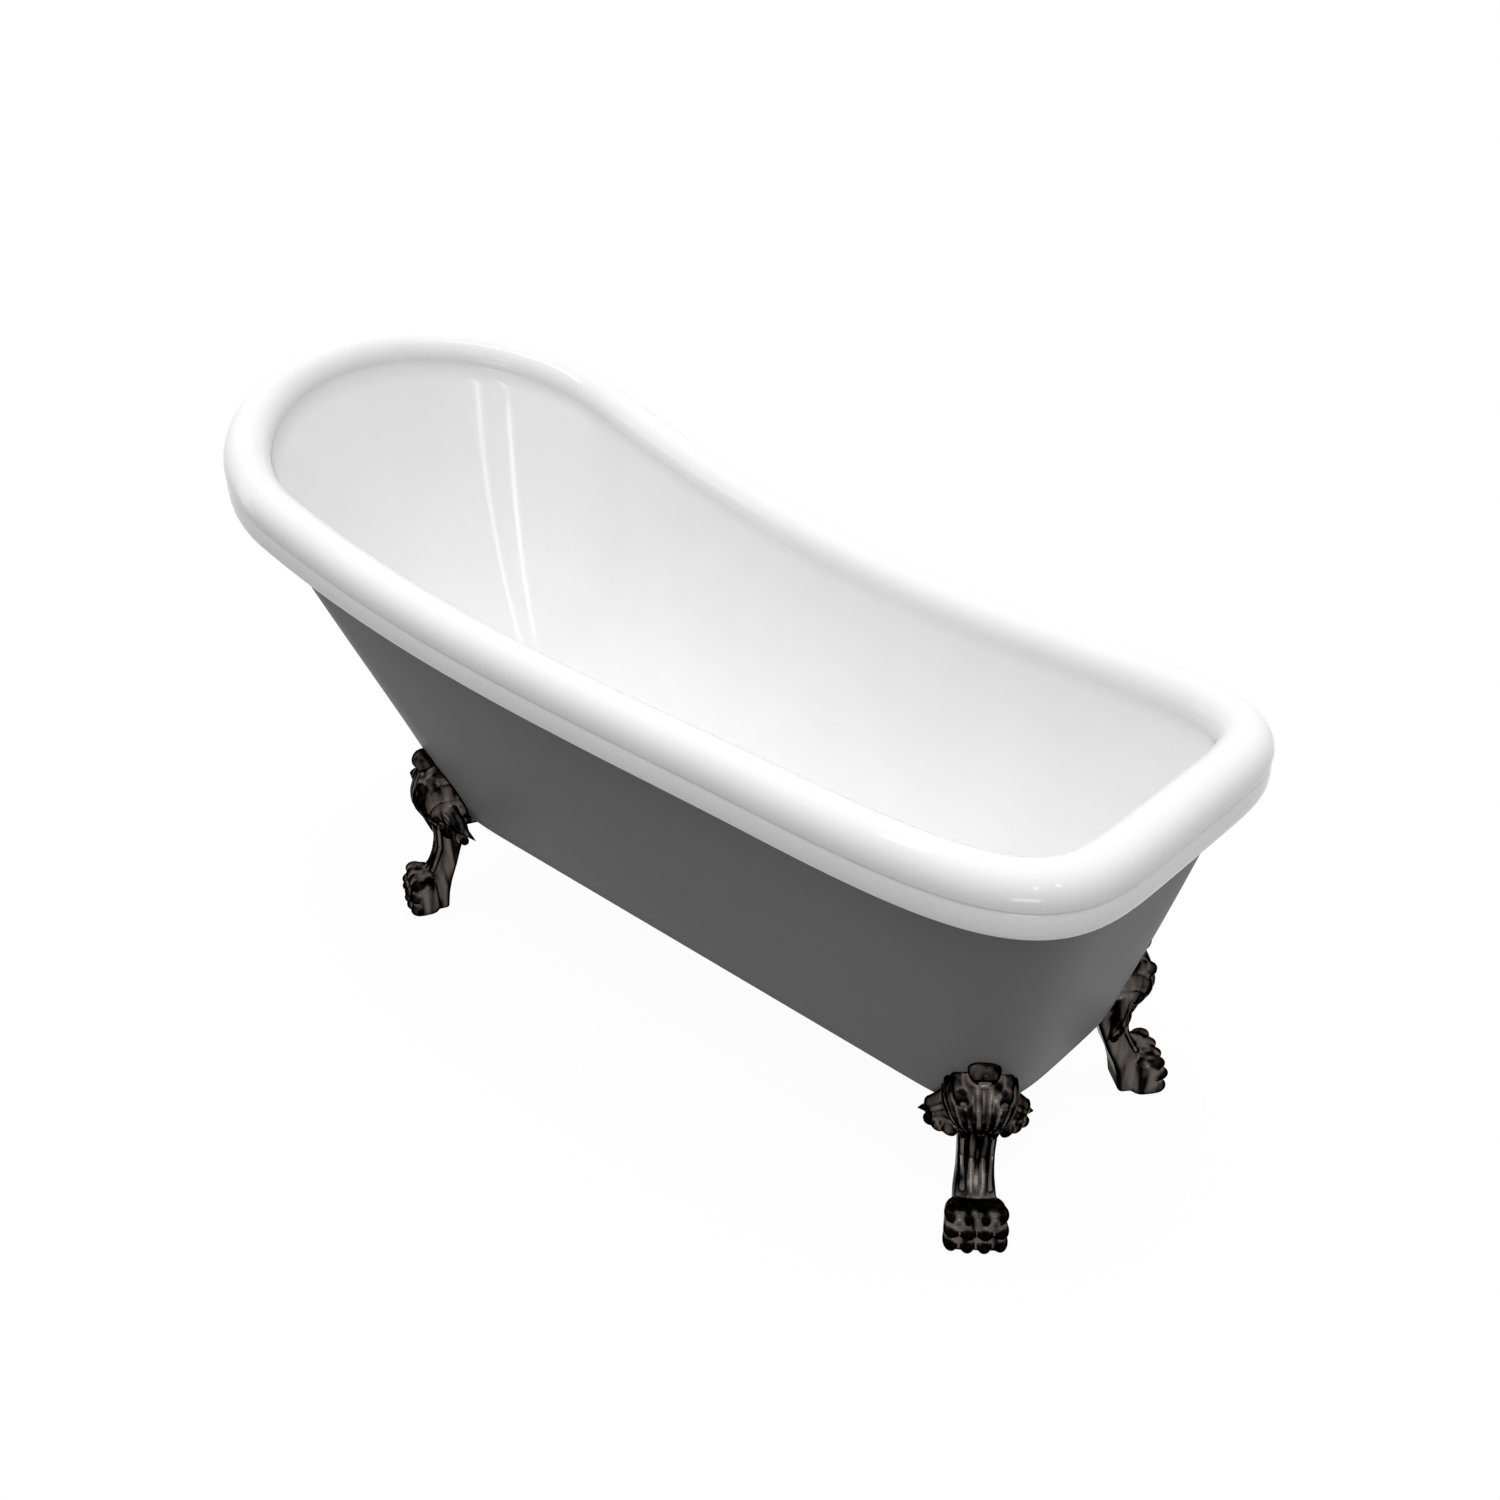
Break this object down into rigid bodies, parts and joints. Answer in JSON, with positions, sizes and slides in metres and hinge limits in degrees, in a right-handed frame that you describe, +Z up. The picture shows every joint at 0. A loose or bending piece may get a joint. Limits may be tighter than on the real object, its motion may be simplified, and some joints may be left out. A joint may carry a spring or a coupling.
{
  "type": "clawfoot bathtub",
  "caption": "Freestanding slipper bath with a raised rounded head end, a white rolled rim and shell, a satin grey outer skin and black claw feet.",
  "frame": {"origin": "on the floor, midway along the bath, on its plane of symmetry", "axes": "+X towards the low foot end with the waste, -X towards the raised head end, +Z up"},
  "size_m": [1.5502, 0.7004, 0.809],
  "materials": {
    "white_acrylic": "gloss",
    "grey_skin": "satin",
    "board": "sealed particle board",
    "zinc_steel": "zinc plated",
    "chrome": "polished",
    "black_rubber": "matt",
    "grey_plastic": "moulded",
    "black_chrome": "black chrome"
  },
  "bodies": {
    "bath": {"basin": "white_acrylic", "rim_band": "white_acrylic", "outer_skirt": "grey_skin", "base_board": "board", "head_rail": "zinc_steel", "drain_rail": "zinc_steel", "foot_bolts": "zinc_steel", "foot_washers": "zinc_steel", "foot_nuts": "zinc_steel", "waste_body": "chrome", "waste_gasket": "black_rubber", "waste_nut": "grey_plastic", "waste_tail": "grey_plastic", "overflow_cover": "chrome", "overflow_gasket": "black_rubber", "overflow_screw": "chrome", "overflow_body": "grey_plastic", "overflow_hose": "grey_plastic", "foot_head_near": "black_chrome", "foot_head_far": "black_chrome", "foot_drain_near": "black_chrome", "foot_drain_far": "black_chrome"},
    "plug": {"waste_plug": "chrome", "plug_seal": "black_rubber"},
    "leveller_head_near": {"level_screw_head_near": "zinc_steel", "level_pad_head_near": "black_rubber"},
    "leveller_head_far": {"level_screw_head_far": "zinc_steel", "level_pad_head_far": "black_rubber"},
    "leveller_drain_near": {"level_screw_drain_near": "zinc_steel", "level_pad_drain_near": "black_rubber"},
    "leveller_drain_far": {"level_screw_drain_far": "zinc_steel", "level_pad_drain_far": "black_rubber"}
  },
  "joints": [
    {"name": "plug_lift", "type": "slide", "parent": "bath", "child": "plug", "axis": [0, 0, 1], "range_m": [0, 0.009]},
    {"name": "level_head_near", "type": "slide", "parent": "bath", "child": "leveller_head_near", "axis": [0, 0, -1], "range_m": [0, 0.01]},
    {"name": "level_head_far", "type": "slide", "parent": "bath", "child": "leveller_head_far", "axis": [0, 0, -1], "range_m": [0, 0.01]},
    {"name": "level_drain_near", "type": "slide", "parent": "bath", "child": "leveller_drain_near", "axis": [0, 0, -1], "range_m": [0, 0.01]},
    {"name": "level_drain_far", "type": "slide", "parent": "bath", "child": "leveller_drain_far", "axis": [0, 0, -1], "range_m": [0, 0.01]}
  ]
}
